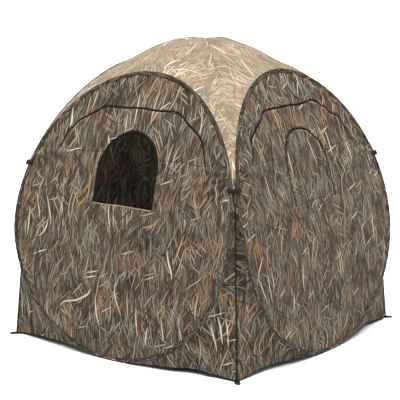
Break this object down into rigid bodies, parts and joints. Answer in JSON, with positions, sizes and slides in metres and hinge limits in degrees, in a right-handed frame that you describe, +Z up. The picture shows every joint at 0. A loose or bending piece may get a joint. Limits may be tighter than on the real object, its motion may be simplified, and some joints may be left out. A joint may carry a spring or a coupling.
{
  "type": "pop up ground blind",
  "caption": "Free-standing pop up hunting blind: bowed round cloth walls on spring steel hoops, domed roof, zipped arched windows and a back door.",
  "frame": {"origin": "middle of the floor square, on the ground", "axes": "+Z up, -Y out through the front wall with the open window, +X out through the right wall"},
  "size_m": [1.7124, 1.7124, 1.6627],
  "materials": {
    "wall_cloth": "printed polyester, reed camouflage, matt",
    "roof_cloth": "printed polyester, reed camouflage, sunlit side",
    "sleeve_cloth": "binding tape, printed",
    "net_mesh": "see-through net, dark with faint print",
    "spring_steel": "tempered band",
    "zip_black": "nylon coil",
    "slider_black": "black enamel",
    "black_webbing": "woven webbing",
    "eyelet_metal": "black enamel",
    "rod_fibre": "glass fibre rod"
  },
  "bodies": {
    "front": {"front_hoop": "spring_steel", "front_ferrule": "spring_steel", "front_sleeve": "sleeve_cloth", "front_wall": "wall_cloth", "front_gussets": "wall_cloth", "front_roof": "roof_cloth", "front_arc_zip": "zip_black", "front_window_zip_sides": "zip_black", "front_net": "net_mesh", "front_stake_tabs": "black_webbing", "front_stake_eyelets": "eyelet_metal", "front_corner_ties": "black_webbing", "roof_rod_near": "rod_fibre", "roof_rod_far": "rod_fibre"},
    "right": {"right_hoop": "spring_steel", "right_ferrule": "spring_steel", "right_sleeve": "sleeve_cloth", "right_wall": "wall_cloth", "right_gussets": "wall_cloth", "right_roof": "roof_cloth", "right_arc_zip": "zip_black", "right_window_zip_sides": "zip_black"},
    "left": {"left_hoop": "spring_steel", "left_ferrule": "spring_steel", "left_sleeve": "sleeve_cloth", "left_wall": "wall_cloth", "left_gussets": "wall_cloth", "left_roof": "roof_cloth", "left_arc_zip": "zip_black", "left_window_zip_sides": "zip_black"},
    "back": {"back_hoop": "spring_steel", "back_ferrule": "spring_steel", "back_sleeve": "sleeve_cloth", "back_wall": "wall_cloth", "back_gussets": "wall_cloth", "back_roof": "roof_cloth", "door_zip": "zip_black", "back_stake_tabs": "black_webbing", "back_stake_eyelets": "eyelet_metal", "back_corner_ties": "black_webbing"},
    "front_drop_flap": {"front_drop_flap": "wall_cloth", "front_window_zip_arch": "zip_black"},
    "front_window_flap": {"front_window_flap": "wall_cloth"},
    "front_arc_slider": {"front_arc_slider": "slider_black"},
    "front_window_slider": {"front_window_slider": "slider_black"},
    "right_drop_flap": {"right_drop_flap": "wall_cloth", "right_window_zip_arch": "zip_black"},
    "right_window_flap": {"right_window_flap": "wall_cloth"},
    "right_arc_slider": {"right_arc_slider": "slider_black"},
    "right_window_slider": {"right_window_slider": "slider_black"},
    "left_drop_flap": {"left_drop_flap": "wall_cloth", "left_window_zip_arch": "zip_black"},
    "left_window_flap": {"left_window_flap": "wall_cloth"},
    "left_arc_slider": {"left_arc_slider": "slider_black"},
    "left_window_slider": {"left_window_slider": "slider_black"},
    "door": {"door": "wall_cloth"},
    "door_slider": {"door_slider": "slider_black"}
  },
  "joints": [
    {"name": "fold_near_corner", "type": "hinge", "parent": "front", "child": "right", "pos_m": [0.69305, -0.69305, 0.99067], "axis": [0.2867, -0.2867, -0.9141], "range_deg": [0, 60], "stiffness_Nm_per_rad": 12, "springref_deg": -14.32, "deforming": ["front_roof", "front_gussets", "right_roof", "right_gussets", "back_roof", "back_gussets", "left_roof", "left_gussets", "roof_rod_near", "roof_rod_far"]},
    {"name": "fold_left_corner", "type": "hinge", "parent": "front", "child": "left", "pos_m": [-0.69305, -0.69305, 0.99067], "axis": [-0.2867, -0.2867, -0.9141], "range_deg": [0, 62]},
    {"name": "fold_right_corner", "type": "hinge", "parent": "right", "child": "back", "pos_m": [0.69305, 0.69305, 0.99067], "axis": [-0.2867, -0.2867, 0.9141], "range_deg": [0, 62]},
    {"name": "front_drop_flap_fold", "type": "hinge", "parent": "front", "child": "front_drop_flap", "pos_m": [0, -0.66631, 1.092], "axis": [-1, 0, 0], "range_deg": [0, 165]},
    {"name": "front_window_flap_fold", "type": "hinge", "parent": "front", "child": "front_window_flap", "pos_m": [0, -0.74662, 0.835], "axis": [-1, 0, 0], "range_deg": [-165, 6]},
    {"name": "front_arc_slider_run", "type": "slide", "parent": "front", "child": "front_arc_slider", "axis": [-1, 0, 0], "range_m": [0, 0.4]},
    {"name": "front_window_slider_run", "type": "hinge", "parent": "front", "child": "front_window_slider", "pos_m": [0, -0.69741, 1.02], "axis": [0, -0.9364, 0.351], "range_deg": [0, 180]},
    {"name": "right_drop_flap_fold", "type": "hinge", "parent": "right", "child": "right_drop_flap", "pos_m": [0.66631, 0, 1.092], "axis": [0, -1, 0], "range_deg": [0, 165]},
    {"name": "right_window_flap_fold", "type": "hinge", "parent": "right", "child": "right_window_flap", "pos_m": [0.74662, 0, 0.835], "axis": [0, -1, 0], "range_deg": [0, 165]},
    {"name": "right_arc_slider_run", "type": "slide", "parent": "right", "child": "right_arc_slider", "axis": [0, -1, 0], "range_m": [0, 0.4]},
    {"name": "right_window_slider_run", "type": "hinge", "parent": "right", "child": "right_window_slider", "pos_m": [0.69741, 0, 1.02], "axis": [0.9364, 0, 0.351], "range_deg": [0, 180]},
    {"name": "left_drop_flap_fold", "type": "hinge", "parent": "left", "child": "left_drop_flap", "pos_m": [-0.66631, 0, 1.092], "axis": [0, 1, 0], "range_deg": [0, 165]},
    {"name": "left_window_flap_fold", "type": "hinge", "parent": "left", "child": "left_window_flap", "pos_m": [-0.74662, 0, 0.835], "axis": [0, 1, 0], "range_deg": [0, 165]},
    {"name": "left_arc_slider_run", "type": "slide", "parent": "left", "child": "left_arc_slider", "axis": [0, 1, 0], "range_m": [0, 0.4]},
    {"name": "left_window_slider_run", "type": "hinge", "parent": "left", "child": "left_window_slider", "pos_m": [-0.69741, 0, 1.02], "axis": [-0.9364, 0, 0.351], "range_deg": [0, 180]},
    {"name": "door_swing", "type": "hinge", "parent": "back", "child": "door", "pos_m": [-0.29, 0.84339, 0.15], "axis": [0, 0.1703, -0.9854], "range_deg": [0, 100]},
    {"name": "door_slider_run", "type": "hinge", "parent": "back", "child": "door_slider", "pos_m": [0.29, -2.11181, 0.081], "axis": [1, 0, 0], "range_deg": [0, 15.8]}
  ],
  "couplings": [
    {"joint": "fold_left_corner", "follows": "fold_near_corner", "ratio": 1.02},
    {"joint": "fold_right_corner", "follows": "fold_near_corner", "ratio": 1.02}
  ]
}
